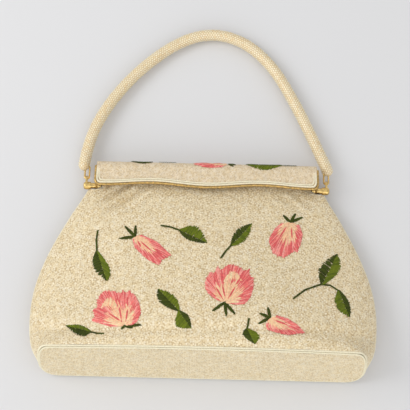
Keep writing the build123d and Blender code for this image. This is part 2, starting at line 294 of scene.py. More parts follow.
def curve(pulls, share):
    """The point at one share along the curve that the pull points shape."""
    pulls = [np.asarray(pull, float) for pull in pulls]
    while len(pulls) > 1:
        pulls = [a + (b - a) * share for a, b in zip(pulls, pulls[1:])]
    return pulls[0]


def half_outline(row, inset, part):
    """Half a cross-section from the middle of the front, or of the back, out to the side seam."""
    _, lean, width, depth_share, corner, shoulder, edge = row
    turn = lean * BASE_LEAN
    full = width * BAG_WIDTH / 2
    half = full - inset
    depth = depth_share * BASE_DEPTH
    low, top = inset, depth - inset
    side = (SEAM_BASE + SEAM_SLOPE * row[0] * BODY_LENGTH) / (cos(turn) - SEAM_SLOPE * sin(turn))
    wide = corner * full
    high = shoulder * depth - inset
    flat = half - edge * full
    inner = half - wide
    rise = high - (top - high) * 2 * wide / inner
    crown = high + (top - high) * 4 / 3
    steps = np.linspace(0, 1, OUTLINE_STEPS)
    if part == "front":
        crown_pulls = [(inner, high), (inner / 3, crown), (-inner / 3, crown), (-inner, high)]
        middle = [curve(crown_pulls, 0.5 - 0.5 * step) for step in steps]
        outer = [curve([(half, side), (half, rise), (inner, high)], 1 - step) for step in steps[1:]]
    else:
        middle = [np.array([flat * step, low]) for step in steps]
        outer = [curve([(flat, low), (half, low), (half, side)], step) for step in steps[1:]]
    return np.array(middle + outer)


def section_line(place, inset, part):
    """One whole line across the front or back: how far each point lies from the middle, and the points."""
    row = row_at(place)
    turn = row[1] * BASE_LEAN
    flat = half_outline(row, inset, part)
    station = FOOT_Y + row[0] * BODY_LENGTH
    points = np.stack([flat[:, 0], station + flat[:, 1] * sin(turn), flat[:, 1] * cos(turn)], 1)
    if points[0, 1] > HINGE_Y - SHOULDER_DROP:
        points = points[points[:, 0] <= YOKE_HALF]
    away = np.concatenate([[0], np.cumsum(np.linalg.norm(np.diff(points, axis=0), axis=1))])
    mirrored = points[:0:-1] * [-1, 1, 1]
    return np.concatenate([-away[:0:-1], away]), np.concatenate([mirrored, points])


def body_lines(step, inset, part, first, last):
    """Lines across the front or back at even steps along its middle."""
    places = np.linspace(first, last, PLACE_STEPS)
    middles = []
    for place in places:
        _, points = section_line(place, inset, part)
        middles.append(points[len(points) // 2])
    run = np.concatenate([[0], np.cumsum(np.linalg.norm(np.diff(middles, axis=0), axis=1))])
    count = int(round(run[-1] / step))
    chosen = np.interp(np.linspace(0, run[-1], count + 1), run, places)
    return [section_line(place, inset, part) for place in chosen]


# Bead skins: room at the ends of a row, how the beads vary in height, and which hollows take the full painted
# shade
END_ROOM = 0.4
RISE_RANGE = (0.55, 1.25)
SINK_RANGE = (0.6, 1.3)
STRAY_SHARE = 0.3
DARK_HOLLOWS = 0.3
PALE_HOLLOW = 0.28


def bead_skin(name, lines, step, relief, materials, odds, shape=None, flip=False, scattered=False):
    """A skin of beads laid in offset rows over lines of points, each bead a bump of its own shade.

    relief is how far beads stand up and hollows sink. Gives the object, its smooth points and its faces.
    """
    top, dip = relief
    points, flags, inside, faces = [], [], [], []
    before = None
    total = 0
    for j, (away, line) in enumerate(lines):
        low, high = away[0], away[-1]
        keys = np.arange(int(np.floor(low / step - j / 2)), int(np.ceil(high / step - j / 2)) + 1)
        places = (keys + j / 2) * step
        kept = (places > low + END_ROOM * step) & (places < high - END_ROOM * step)
        places = np.concatenate([[low], places[kept], [high]])
        centre = np.concatenate([[False], (keys[kept] - j) % 3 == 0, [False]])
        points.append(np.stack([np.interp(places, away, line[:, k]) for k in range(3)], 1))
        flags.append(centre)
        order = np.arange(len(places))
        inside.append((order > 0) & (order < len(places) - 1) & (0 < j < len(lines) - 1))
        if before is not None:
            past, start = before
            a = b = 0
            while a < len(past) - 1 or b < len(places) - 1:
                if b == len(places) - 1 or (a < len(past) - 1 and past[a + 1] <= places[b + 1]):
                    faces.append((start + a, start + a + 1, total + b))
                    a += 1
                else:
                    faces.append((start + a, total + b + 1, total + b))
                    b += 1
        before = (places, total)
        total += len(places)
    points = np.concatenate(points)
    flags = np.concatenate(flags)
    inside = np.concatenate(inside)
    faces = np.array(faces)
    if flip:
        faces = faces[:, ::-1]
    if shape is not None:
        points = shape(points)
    smooth = points.copy()
    normals = normals_of(points, faces)
    if scattered:
        flags = scattered_beads(len(points), faces, inside)
    stray = rng.uniform(-1, 1, points.shape) * STRAY_SHARE * step
    stray -= normals * (stray * normals).sum(axis=1, keepdims=True)
    rise = top * rng.uniform(*RISE_RANGE, len(points))
    sink = -dip * rng.uniform(*SINK_RANGE, len(points))
    heights = np.where(flags, rise, sink)
    points = points + stray * inside[:, None] + normals * heights[:, None]
    shade = rng.choice(len(materials), len(points), p=odds)
    owner = np.where(flags[faces], faces, -1).max(axis=1)
    picks = np.where(owner >= 0, shade[owner], 0)
    # Painted shade in the hollows: some take the full pit colour, the rest a lighter mix
    hollows = np.where(rng.random(len(points)) < DARK_HOLLOWS, 0, PALE_HOLLOW)
    obj = mesh_object(name, points, faces, materials, picks, np.where(flags, 1, hollows))
    return obj, smooth, faces


def scattered_beads(count, faces, allowed):
    """Picks bead tops in random order, so that no two of them are neighbours."""
    pairs = np.concatenate([faces[:, [0, 1]], faces[:, [1, 2]], faces[:, [2, 0]]])
    pairs = np.unique(np.concatenate([pairs, pairs[:, ::-1]]), axis=0)
    starts = np.searchsorted(pairs[:, 0], np.arange(count + 1))
    chosen = np.zeros(count, dtype=bool)
    blocked = ~allowed
    for point in rng.permutation(count):
        if not blocked[point]:
            chosen[point] = True
            blocked[pairs[starts[point]:starts[point + 1], 1]] = True
    return chosen


EDGE_ROWS = 1.5
EDGE_SHARE = 0.1


def plain_sheet(name, lines, columns, material, inset, flip=False, shape=None):
    """A plain inner sheet over the same lines, drawn in by inset; its edges meet the beads."""
    shares = np.linspace(0, 1, columns)
    grid = []
    for away, line in lines:
        places = away[0] + (away[-1] - away[0]) * shares
        grid.append(np.stack([np.interp(places, away, line[:, k]) for k in range(3)], 1))
    grid = np.array(grid)
    if shape is not None:
        grid = shape(grid.reshape(-1, 3)).reshape(grid.shape)
    across = np.gradient(grid, axis=1)
    along = np.gradient(grid, axis=0)
    normal = np.cross(across, along)
    normal /= np.maximum(np.linalg.norm(normal, axis=2, keepdims=True), 1e-9)
    rows, cols = grid.shape[:2]
    border = np.minimum(
        np.minimum(np.arange(rows), np.arange(rows)[::-1])[:, None],
        np.minimum(np.arange(cols), np.arange(cols)[::-1])[None, :],
    )
    depth = inset * np.clip(border / EDGE_ROWS, EDGE_SHARE, 1)
    grid = grid - normal * depth[:, :, None] * (-1 if flip else 1)
    index = np.arange(rows * cols).reshape(rows, cols)
    quads = np.stack([index[:-1, :-1], index[1:, :-1], index[1:, 1:], index[:-1, 1:]], -1).reshape(-1, 4)
    if flip:
        quads = quads[:, ::-1]
    return mesh_object(name, grid.reshape(-1, 3), quads, [material])


def path_frames(path, closed):
    """Unit directions along a path and two steady side directions."""
    if closed:
        ahead = np.roll(path, -1, axis=0) - np.roll(path, 1, axis=0)
    else:
        ahead = np.gradient(path, axis=0)
    ahead /= np.linalg.norm(ahead, axis=1, keepdims=True)
    side = np.cross(ahead, [0.0, 0.0, 1.0])
    side /= np.maximum(np.linalg.norm(side, axis=1, keepdims=True), 1e-9)
    return ahead, side, np.cross(side, ahead)


def even_path(path, step, closed=False):
    """The same path with points at even steps."""
    path = np.asarray(path, float)
    if closed:
        path = np.vstack([path, path[:1]])
    run = np.concatenate([[0], np.cumsum(np.linalg.norm(np.diff(path, axis=0), axis=1))])
    count = int(round(run[-1] / step))
    places = np.linspace(0, run[-1], count + 1)
    even = np.stack([np.interp(places, run, path[:, k]) for k in range(3)], 1)
    return even[:-1] if closed else even


# Twisted cords: strands, points round each strand, step along the cord and swell of the strands
STRANDS = 3
STRAND_POINTS = 4
CORD_STEP = 0.42
STRAND_SWELL = 0.26


def twisted_cord(name, path, radius, lay, material, closed=False):
    """A cord of twisted strands along a path; lay is the length of one full twist."""
    step = radius * CORD_STEP
    path = even_path(path, step, closed)
    _, side, rise = path_frames(path, closed)
    around = STRAND_POINTS * STRANDS
    angles = tau * np.arange(around) / around
    phase = tau * np.arange(len(path)) * step / lay
    swell = 1 + STRAND_SWELL * np.cos(STRANDS * (angles[None, :] + phase[:, None]))
    ring = radius * swell
    points = (
        path[:, None, :]
        + side[:, None, :] * (ring * np.cos(angles))[:, :, None]
        + rise[:, None, :] * (ring * np.sin(angles))[:, :, None]
    )
    rows = len(path)
    index = np.arange(rows * around).reshape(rows, around)
    near, far = (index, np.roll(index, -1, axis=0)) if closed else (index[:-1], index[1:])
    quads = np.stack([near, np.roll(near, -1, axis=1), np.roll(far, -1, axis=1), far], -1).reshape(-1, 4)
    faces = quads.tolist()
    if not closed:
        faces += [index[0, ::-1].tolist(), index[-1].tolist()]
    mesh = bpy.data.meshes.new(name)
    mesh.from_pydata((points.reshape(-1, 3) * MM).tolist(), [], faces)
    mesh.materials.append(material)
    mesh.polygons.foreach_set("use_smooth", np.ones(len(mesh.polygons), dtype=bool))
    obj = bpy.data.objects.new(name, mesh)
    bpy.context.scene.collection.objects.link(obj)
    return obj


def put(obj, body, slot, *nodes):
    """Sets a piece on its body and hides the CAD nodes that it stands for; slot is not used."""
    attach(obj, body)
    if nodes:
        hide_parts(*nodes)
    return obj


# Soft unevenness of the cloth: a crease over the base, puckers under the lid's ends and a slow wave

SLOW_WAVE, SLOW_SPANS, SLOW_PHASES = 0.55, (29, 24), (1.3, 0.4)
FINE_WAVE, FINE_SPANS = 0.3, (13, 19)
CREASE_Y, CREASE_WIDTH, CREASE_DEPTH = -57.0, 4.2, 2.6
CREASE_SWAY, CREASE_SPAN = 2.0, 40
PUCKER_X, PUCKER_Y, PUCKER_DEPTH = 72.0, 57.0, 2.2
PUCKER_REACH, PUCKER_LEVEL, PUCKER_SLANT, PUCKER_SPAN = (16, 12), 0.6, 0.8, 2.2
PUCKER_SIDES = ((-1, 1.7), (1, 0.3))
SOFT_FROM, SOFT_OVER = 8, 6


def soften(points):
    """Moves the points of the front up and down; those low at the sides stay."""
    x, y = points[:, 0], points[:, 1]
    slow = np.sin(x / SLOW_SPANS[0] + SLOW_PHASES[0]) * np.cos(y / SLOW_SPANS[1] + SLOW_PHASES[1])
    wave = SLOW_WAVE * slow + FINE_WAVE * np.sin(x / FINE_SPANS[0] + y / FINE_SPANS[1])
    line = CREASE_Y + CREASE_SWAY * np.sin(x / CREASE_SPAN)
    crease = -CREASE_DEPTH * np.exp(-((y - line) / CREASE_WIDTH) ** 2)
    folds = np.zeros_like(x)
    for side, strength in PUCKER_SIDES:
        across, along = (x - side * PUCKER_X) / PUCKER_REACH[0], (y - PUCKER_Y) / PUCKER_REACH[1]
        near = np.exp(-across ** 2 - along ** 2)
        ripple = PUCKER_LEVEL + PUCKER_LEVEL * np.cos((x * side * PUCKER_SLANT + y) / PUCKER_SPAN)
        folds += -strength * PUCKER_DEPTH * near * ripple
    fade = np.clip((points[:, 2] - SOFT_FROM) / SOFT_OVER, 0, 1)
    moved = points.copy()
    moved[:, 2] += (wave + crease + folds) * fade
    return moved


# Front and back of the bag
ROW_SHARE = sqrt(3) / 2
LINING_COLUMNS = 90
LINING_SKIP = 5
FRONT_STEP = 1.02
FRONT_RELIEF = (0.48, 0.26)
FRONT_END = 1.09
FRONT_LINING = 1.5
front_lines = body_lines(FRONT_STEP * ROW_SHARE, 0, "front", 0.0, FRONT_END)
front_skin, front_points, front_faces = bead_skin(
    "front_beads", front_lines, FRONT_STEP, FRONT_RELIEF, CREAM, CREAM_ODDS, soften, scattered=True,
)
put(front_skin, "bag", "beadwork", "front_panel")
front_lining = plain_sheet(
    "front_lining", front_lines[::LINING_SKIP], LINING_COLUMNS, SATIN, FRONT_LINING, shape=soften,
)
put(front_lining, "bag", "beadwork")

BACK_STEP = 1.15
BACK_RELIEF = (0.36, 0.22)
BACK_INSET = 0.5
BACK_LINING = 1.2
FOLD_ROOM = 0.5
FOLD_END = 1.0 + (MOUTH_DROP - FOLD_ROOM) / BODY_LENGTH
back_lines = body_lines(BACK_STEP * ROW_SHARE, BACK_INSET, "back", 0.0, FOLD_END)
back_skin, _, _ = bead_skin(
    "back_beads", back_lines, BACK_STEP, BACK_RELIEF, CREAM, CREAM_ODDS, flip=True, scattered=True,
)
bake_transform(back_skin)
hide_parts("back_panel", "back_fold")
back_lining = plain_sheet(
    "back_lining", back_lines[::LINING_SKIP], LINING_COLUMNS, SATIN, BACK_LINING, flip=True,
)
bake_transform(back_lining)

# A fine cord over each side seam
SEAM_INSET = 0.2
SEAM_ROOM = 0.3
SEAM_POINTS = 60
SEAM_RADIUS = 0.6
SEAM_LAY = 2.4


def seam_path(sign):
    """The side seam from the base to the shoulder."""
    path = []
    end = 1 + (MOUTH_DROP - SHOULDER_DROP - SEAM_ROOM) / BODY_LENGTH
    for place in np.linspace(0, end, SEAM_POINTS):
        _, points = section_line(place, SEAM_INSET, "front")
        path.append(points[-1] * [sign, 1, 1])
    return path


for sign, side_name in ((-1, "left"), (1, "right")):
    seam = twisted_cord(f"{side_name}_seam", seam_path(sign), SEAM_RADIUS, SEAM_LAY, PIPING)
    put(seam, "bag", "piping")

# Base panel with finer beads, and the double piping round its seam
BASE_STEP = 0.88
BASE_RELIEF = (0.34, 0.18)
BASE_INSET = 1.5
BASE_MARGIN = 0.05
BASE_SINK = 0.1
BASE_POINTS = 9
PIPING_LAY = 2.6
INNER_PIPING = {"inset": 0.45, "out": 0.35}
INNER_RADIUS = 0.72
OUTER_PIPING = {"inset": 1.55, "out": 1.45}
OUTER_RADIUS = 0.66
base_row = row_at(0.0)
base_up = np.array([0, sin(BASE_LEAN), cos(BASE_LEAN)])
base_out = np.array([0, -cos(BASE_LEAN), sin(BASE_LEAN)])
base_foot = np.array([0, FOOT_Y, 0])


def base_ring(inset, out):
    """The base outline as a closed path, drawn in by inset and moved out of the base."""
    front = half_outline(base_row, inset, "front")
    back = half_outline(base_row, inset, "back")
    right = np.concatenate([back, front[::-1][1:]])
    left = right[::-1][1:-1] * [-1, 1]
    loop = np.concatenate([right, left])
    return base_foot + loop[:, :1] * [1, 0, 0] + loop[:, 1:] * base_up + out * base_out


def base_lines():
    """Level lines over the base panel."""
    back = half_outline(base_row, BASE_INSET, "back")[OUTLINE_STEPS - 1:]
    front = half_outline(base_row, BASE_INSET, "front")
    right = np.concatenate([back, front[::-1][1:]])
    lowest, highest = right[0, 1], right[-1, 1]
    count = int((highest - lowest) / (BASE_STEP * ROW_SHARE))
    lines = []
    for up in np.linspace(lowest + BASE_MARGIN, highest - BASE_MARGIN, count):
        half = np.interp(up, right[:, 1], right[:, 0])
        away = np.linspace(-half, half, BASE_POINTS)
        points = base_foot + away[:, None] * [1, 0, 0] + up * base_up + (FABRIC - BASE_SINK) * base_out
        lines.append((away, points))
    return lines


base_skin, _, _ = bead_skin("base_beads", base_lines(), BASE_STEP, BASE_RELIEF, CREAM, CREAM_ODDS)
put(base_skin, "bag", "beadwork", "base_panel")
piping_one = twisted_cord(
    "base_piping_inner", base_ring(**INNER_PIPING), INNER_RADIUS, PIPING_LAY, PIPING, True,
)
put(piping_one, "bag", "piping", "base_piping")
piping_two = twisted_cord(
    "base_piping_outer", base_ring(**OUTER_PIPING), OUTER_RADIUS, PIPING_LAY, PIPING, True,
)
put(piping_two, "bag", "piping")

# Lid: beads over the hood, a gilt rope rim and double piping along the wavy edge

def flap_edge(across, inset):
    """Height of the flap's wavy lower edge."""
    half = LID_HALF - inset
    bend = FLAP_CORNER
    share = np.clip(np.abs(across) / (half - bend), 0, 1)
    wave = 0.5 - 0.5 * np.cos(tau * share)
    height = FLAP_LOW + inset + FLAP_WAVE * wave + FLAP_END_RISE * share ** 2
    over = np.clip(np.abs(across) - (half - bend), 0, bend)
    return height + bend - np.sqrt(np.maximum(bend ** 2 - over ** 2, 0))


LID_STEP = 0.84
LID_RELIEF = (0.34, 0.16)
LID_POINTS = 181
LID_ARC_POINTS = 12
LID_LINING = 1.7
LID_LINING_SKIP = 4
LID_LINING_COLUMNS = 60


def lid_lines():
    """Level lines from the flap's edge over the rounded top and down the back."""
    away = np.linspace(-LID_HALF, LID_HALF, LID_POINTS)
    spacing = LID_STEP * ROW_SHARE
    face_top = LID_TOP - LID_ROUND
    lines = []
    face_rows = int((face_top - FLAP_LOW) / spacing)
    edge = flap_edge(away, 0)
    for row in range(face_rows):
        height = edge + (face_top - edge) * row / face_rows
        lines.append((away, np.stack([away, height, np.full_like(away, LID_FRONT)], 1)))
    angles = np.linspace(0, pi / 2, LID_ARC_POINTS)
    profile = []
    for angle in angles:
        profile.append((face_top + LID_ROUND * sin(angle), LID_FRONT - LID_ROUND + LID_ROUND * cos(angle)))
    for angle in angles:
        profile.append((face_top + LID_ROUND * cos(angle), LID_BACK + LID_ROUND - LID_ROUND * sin(angle)))
    profile.append((HINGE_Y, LID_BACK))
    profile = np.array(profile)
    run = np.concatenate([[0], np.cumsum(np.linalg.norm(np.diff(profile, axis=0), axis=1))])
    for place in np.linspace(0, run[-1], int(run[-1] / spacing)):
        y = np.interp(place, run, profile[:, 0])
        z = np.interp(place, run, profile[:, 1])
        lines.append((away, np.stack([away, np.full_like(away, y), np.full_like(away, z)], 1)))
    return lines


hood_lines = lid_lines()
lid_skin, _, _ = bead_skin("lid_beads", hood_lines, LID_STEP, LID_RELIEF, LID_CREAM, CREAM_ODDS)
put(lid_skin, "lid", "beadwork", "lid_cover")
lid_lining = plain_sheet(
    "lid_lining", hood_lines[::LID_LINING_SKIP], LID_LINING_COLUMNS, SATIN, LID_LINING,
)
put(lid_lining, "lid", "beadwork")

# Cords round the flap: how far outside its edge, how far above its face, radius and lay
RIM_CORD = (0.7, -0.9, 1.02, 2.4)
OUTER_CORD = (-0.8, 0.42, 0.66, 2.6)
INNER_CORD = (-2.35, 0.38, 0.58, 2.4)
RIM_POINTS = 400
RIM_TOP_SHARE = 0.7
RIM_END_DROP = 1.4


def rim_path(outset, height):
    """Path round the flap's face: down one end, along the wavy edge and up the other end."""
    half = LID_HALF + outset
    across = np.linspace(-half, half, RIM_POINTS)
    low = flap_edge(across, -outset)
    top = LID_TOP - LID_ROUND * RIM_TOP_SHARE
    end = height - RIM_END_DROP
    bottom = np.stack([across, low, np.full_like(across, height)], 1)
    return np.concatenate([[[-half, top, end]], bottom, [[half, top, end]]])


def flap_cord(name, cord, material):
    """One of the twisted cords round the flap."""
    outset, above, radius, lay = cord
    return twisted_cord(name, rim_path(outset, LID_FRONT + above), radius, lay, material)


put(flap_cord("lid_rim", RIM_CORD, SHADED_RIM_GILT), "lid", "gilt", "lid_trim")
put(flap_cord("lid_piping_outer", OUTER_CORD, PIPING), "lid", "piping", "lid_piping")
put(flap_cord("lid_piping_inner", INNER_CORD, PIPING), "lid", "piping")

# Metal and board keep their CAD solids
for node, material in (
    ("front_frame", GILT), ("back_frame", GILT), ("lid_plate", SATIN), ("left_post", GILT),
    ("right_post", GILT), ("left_link", GILT), ("right_link", GILT), ("base_board", BOARD),
):
    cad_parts[node].data.materials.clear()
    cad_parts[node].data.materials.append(material)

# Rope handle: beads in spiral rows round the route, with round ends
ROPE_AROUND = 24
ROPE_LINE_STEPS = 24
ROPE_END_SHARES = (0.15, 0.85)
ROPE_END_RINGS = 5
ROPE_SINK = 0.35
ROPE_BEAD = (0.5, -0.42)
ROPE_UNEVEN = 0.06
ROPE_END_BEAD = 0.4


def rope_path():
    """Points read from the smooth spline that the route's points steer."""
    line = bpy.data.curves.new("rope_line", "CURVE")
    line.dimensions = "3D"
    line.resolution_u = ROPE_LINE_STEPS
    spline = line.splines.new("NURBS")
    spline.points.add(len(ROPE_ROUTE) - 1)
    for point, place in zip(spline.points, ROPE_ROUTE):
        point.co = (place[0] * MM, place[1] * MM, place[2] * MM, 1)
    spline.order_u = 3
    spline.use_endpoint_u = True
    holder = bpy.data.objects.new("rope_line", line)
    mesh = bpy.data.meshes.new_from_object(holder)
    points = np.array([vertex.co[:] for vertex in mesh.vertices]) / MM
    bpy.data.objects.remove(holder)
    bpy.data.curves.remove(line)
    bpy.data.meshes.remove(mesh)
    return points


def rope_handle():
    """The beaded rope as a tube with round ends."""
    step = tau * ROPE_RADIUS / ROPE_AROUND * ROW_SHARE
    path = even_path(rope_path(), step)
    ahead, side, rise = path_frames(path, False)
    end_angles = np.linspace(*ROPE_END_SHARES, ROPE_END_RINGS) * pi / 2
    rings = []
    for angle in end_angles:
        rings.append((path[0] - ahead[0] * ROPE_RADIUS * cos(angle), side[0], rise[0], sin(angle)))
    rings += [(path[j], side[j], rise[j], 1.0) for j in range(len(path))]
    for angle in end_angles[::-1]:
        rings.append((path[-1] + ahead[-1] * ROPE_RADIUS * cos(angle), side[-1], rise[-1], sin(angle)))
    points, flags = [], []
    for j, (middle, across, up, size) in enumerate(rings):
        keys = np.arange(ROPE_AROUND)
        angles = tau * (keys + j / 2) / ROPE_AROUND
        centre = (keys - j) % 3 == 0
        bump = np.where(centre, *ROPE_BEAD) + rng.normal(0, ROPE_UNEVEN, ROPE_AROUND)
        radius = (ROPE_RADIUS - ROPE_SINK) * size + bump * (ROPE_END_BEAD + (1 - ROPE_END_BEAD) * size)
        sideways, upwards = radius * np.cos(angles), radius * np.sin(angles)
        points.append(middle + across * sideways[:, None] + up * upwards[:, None])
        flags.append(centre)
    rows = len(rings)
    index = np.arange(rows * ROPE_AROUND).reshape(rows, ROPE_AROUND)
    near, far = index[:-1], index[1:]
    after = np.roll(near, -1, axis=1)
    ahead_far = np.roll(far, 1, axis=1)
    faces = np.concatenate([
        np.stack([near, after, far], -1).reshape(-1, 3),
        np.stack([near, far, ahead_far], -1).reshape(-1, 3),
    ])
    points = np.concatenate(points)
    flags = np.concatenate(flags)
    ends = np.array([points[index[0]].mean(axis=0), points[index[-1]].mean(axis=0)])
    first, last = len(points), len(points) + 1
    points = np.concatenate([points, ends])
    flags = np.concatenate([flags, [False, False]])
    caps = [(first, index[0, (k + 1) % ROPE_AROUND], index[0, k]) for k in range(ROPE_AROUND)]
    caps += [(last, index[-1, k], index[-1, (k + 1) % ROPE_AROUND]) for k in range(ROPE_AROUND)]
    faces = np.concatenate([faces, np.array(caps)])
    shade = rng.choice(len(HONEY), len(points), p=HONEY_ODDS)
    owner = np.where(flags[faces], faces, -1).max(axis=1)
    picks = np.where(owner >= 0, shade[owner], 0)
    # Every hollow of the rope takes the full painted shade; bead tops keep their colour
    return mesh_object("rope_beads", points, faces, HONEY, picks, flags), path


rope, rope_line = rope_handle()
put(rope, "handle", "rope", "handle_rope")

# Embroidery: stitches laid where the photograph shows them; on the front, in its pixels

front_tree = BVHTree.FromPolygons(front_points.tolist(), front_faces.tolist())
STITCH_PITCH = 0.72
STITCH_WIDTH = 1.15
STITCH_LIFT = 0.50
STITCH_CROWN = 0.30
STITCH_STOPS = (0, 0.33, 0.67, 1)
STITCH_ENDS = np.array([0.55, 1, 1, 0.55])[:, None]
CROWN_ENDS = np.array([0.5, 1, 1, 0.5])[:, None]
CROWN_UNEVEN = 0.03
STITCH_SHORTEST = 0.2
STITCH_ROWS = 3


def front_spot(pixel):
    """The point and normal of the front that a pixel of the photograph shows."""
    across = (pixel[0] - PICTURE / 2) / FOCAL_PX
    up = (pixel[1] - PICTURE / 2) / FOCAL_PX
    ray = -BACK + across * RIGHT - up * UP
    spot, normal, _, _ = front_tree.ray_cast(Vector(EYE), Vector(ray).normalized())
    if spot is None:
        return None
    return np.array(spot), np.array(normal)


def lid_spot(place):
    """The point and normal of the lid at a distance across it and a run up from its face round the top."""
    across, run = place
    face_top = LID_TOP - LID_ROUND
    angle = np.clip(run / LID_ROUND, 0, pi / 2)
    over = max(0.0, run - LID_ROUND * pi / 2)
    under = min(0.0, run)
    height = face_top + LID_ROUND * sin(angle) + under
    out = LID_FRONT - LID_ROUND + LID_ROUND * cos(angle) - over
    return np.array([across, height, out]), np.array([0.0, sin(angle), cos(angle)])


class Threads:
    """Collects the stitches of one colour into one mesh."""

    def __init__(self, name, spot, materials):
        self.name, self.spot, self.materials = name, spot, materials
        self.points, self.faces, self.picks = [], [], []

    def stitch(self, start, end, width=STITCH_WIDTH, tone=None, layer=0.0):
        """One stitch as a low ridge; layer lifts it, and tone picks its shade."""
        start, end = np.asarray(start, float), np.asarray(end, float)
        spots = [self.spot(start + (end - start) * share) for share in STITCH_STOPS]
        if any(spot is None for spot in spots):
            return
        line = np.array([spot[0] for spot in spots])
        normal = np.array([spot[1] for spot in spots])
        normal /= np.linalg.norm(normal, axis=1, keepdims=True)
        along = line[-1] - line[0]
        if np.linalg.norm(along) < STITCH_SHORTEST:
            return
        side = np.cross(normal, along / np.linalg.norm(along))
        lift = (STITCH_LIFT + layer) * STITCH_ENDS
        crown = lift + STITCH_CROWN * CROWN_ENDS + rng.normal(0, CROWN_UNEVEN)
        narrow = width / 2 * STITCH_ENDS
        first = len(self.points) * len(STITCH_STOPS) * STITCH_ROWS
        foot = line + normal * lift
        rows = [foot - side * narrow, line + normal * crown, foot + side * narrow]
        self.points.append(np.stack(rows, 1).reshape(-1, 3))
        pick = int(rng.integers(len(self.materials))) if tone is None else tone
        for j in range(len(STITCH_STOPS) - 1):
            for k in range(STITCH_ROWS - 1):
                a = first + j * STITCH_ROWS + k
                self.faces.append((a, a + 1, a + 1 + STITCH_ROWS, a + STITCH_ROWS))
                self.picks.append(pick)

    def finish(self, body):
        """Makes the mesh and sets it on its body."""
        obj = mesh_object(self.name, np.concatenate(self.points), self.faces, self.materials, self.picks)
        return put(obj, body, "beadwork")


def edge_curve(base, tip, through):
    """A bowed edge from base to tip that passes through a point halfway."""
    base, tip, through = (np.asarray(p, float) for p in (base, tip, through))
    pull = 2 * through - (base + tip) / 2
    return lambda share: curve([base, pull, tip], share)


def straight(base, tip):
    """A straight edge from base to tip."""
    base, tip = np.asarray(base, float), np.asarray(tip, float)
    return lambda share: base + (tip - base) * share


# Satin stitch: samples and ends of an edge, fewest stitches, unevenness and how far an end runs over
EDGE_SAMPLES = 24
EDGE_SPAN = (0.01, 0.99)
FEWEST_STITCHES = 4
SATIN_SLANT = 0.10
SATIN_UNEVEN = 0.012
RAGGED_RANGE = (-0.4, 1)
LEAF_RAGGED = 0.16


def edge_length(edge):
    """Length of an edge."""
    samples = [edge(share) for share in np.linspace(0, 1, EDGE_SAMPLES)]
    return np.linalg.norm(np.diff(samples, axis=0), axis=1).sum()


def satin(threads, one, two, slant=SATIN_SLANT, ragged=0.0, layer=0.0):
    """Fills the space between two edges with stitches; ragged lets them run past the second edge."""
    length = max(edge_length(one), edge_length(two))
    count = max(FEWEST_STITCHES, int(length / STITCH_PITCH))
    for share in np.linspace(*EDGE_SPAN, count):
        jitter = rng.normal(0, SATIN_UNEVEN, 2)
        start = one(np.clip(share - slant + jitter[0], 0, 1))
        end = two(np.clip(share + jitter[1], 0, 1))
        threads.stitch(start, end + (end - start) * ragged * rng.uniform(*RAGGED_RANGE), layer=layer)


def leaf(dark, light, base, tip, dark_side, light_side):
    """A leaf in two halves along its midrib, with toothed edges."""
    satin(dark, straight(base, tip), edge_curve(base, tip, dark_side), ragged=LEAF_RAGGED)
    satin(light, straight(base, tip), edge_curve(base, tip, light_side), ragged=LEAF_RAGGED)


SEPAL_BELLY = 0.45
SEPAL_SLANT = 0.2


def spike(threads, base, tip, width):
    """A narrow sepal from its base to its tip."""
    base, tip = np.asarray(base, float), np.asarray(tip, float)
    along = (tip - base) / np.linalg.norm(tip - base)
    across = np.array([-along[1], along[0]]) * width / 2
    belly = base + (tip - base) * SEPAL_BELLY
    near, far = edge_curve(base, tip, belly - across), edge_curve(base, tip, belly + across)
    satin(threads, near, far, slant=SEPAL_SLANT)


# Flowers: pitch at the rim, where a pale stitch starts and coral takes over, and how the layers lie
RIM_PITCH = 0.8
PALE_START = 0.04
PALE_OVERLAP = 0.1
DEEP_PALE_ODDS = 0.8
DEEP_PALE = (0.52, 0.86)
SHORT_PALE = (0.25, 0.5)
RIM_UNEVEN = 0.03
PALE_LAYER = -0.12
HEART_LAYER = 0.1
HEART_RAGGED = 0.12
FOLD_LAYER = 0.22
FOLD_WIDTH = 1.3
FOLD_TONE = 1


def flower(coral, peach, base, outline, folds, hearts):
    """A flower of long stitches that run from its base to its outline, pale within and coral at the rim."""
    base = np.asarray(base, float)
    rim = np.array(outline, float)
    run = np.concatenate([[0], np.cumsum(np.linalg.norm(np.diff(rim, axis=0), axis=1))])
    places = np.linspace(0, run[-1], int(run[-1] / (STITCH_PITCH * RIM_PITCH)))
    for place in places:
        tip = np.array([np.interp(place, run, rim[:, k]) for k in range(2)])
        inner = rng.uniform(*(DEEP_PALE if rng.random() < DEEP_PALE_ODDS else SHORT_PALE))
        reach = tip - base
        peach.stitch(base + reach * PALE_START, base + reach * (inner + PALE_OVERLAP), layer=PALE_LAYER)
        coral.stitch(base + reach * inner, tip + reach * rng.uniform(-RIM_UNEVEN, RIM_UNEVEN))
    for start, through, end in hearts:
        rim_edge = edge_curve(start, end, through)
        satin(peach, straight(start, end), rim_edge, ragged=HEART_RAGGED, layer=HEART_LAYER)
    for fold in folds:
        for start, end in zip(fold, fold[1:]):
            coral.stitch(start, end, FOLD_WIDTH, tone=FOLD_TONE, layer=FOLD_LAYER)


STEM_WIDTH = 1.5
STEM_PITCH = 1.5
STEM_SLANT = 0.35
STEM_OVERLAP = 1.5


def stem(threads, route, width=STEM_WIDTH):
    """A line of short slanting stitches along a route."""
    route = [np.asarray(p, float) for p in route]
    for start, end in zip(route, route[1:]):
        count = max(1, int(np.linalg.norm(end - start) / STEM_PITCH))
        along = (end - start) / np.linalg.norm(end - start)
        across = np.array([-along[1], along[0]]) * STEM_SLANT
        for step in range(count):
            here = start + (end - start) * step / count
            there = start + (end - start) * (step + STEM_OVERLAP) / count
            threads.stitch(here - across, there + across, width)


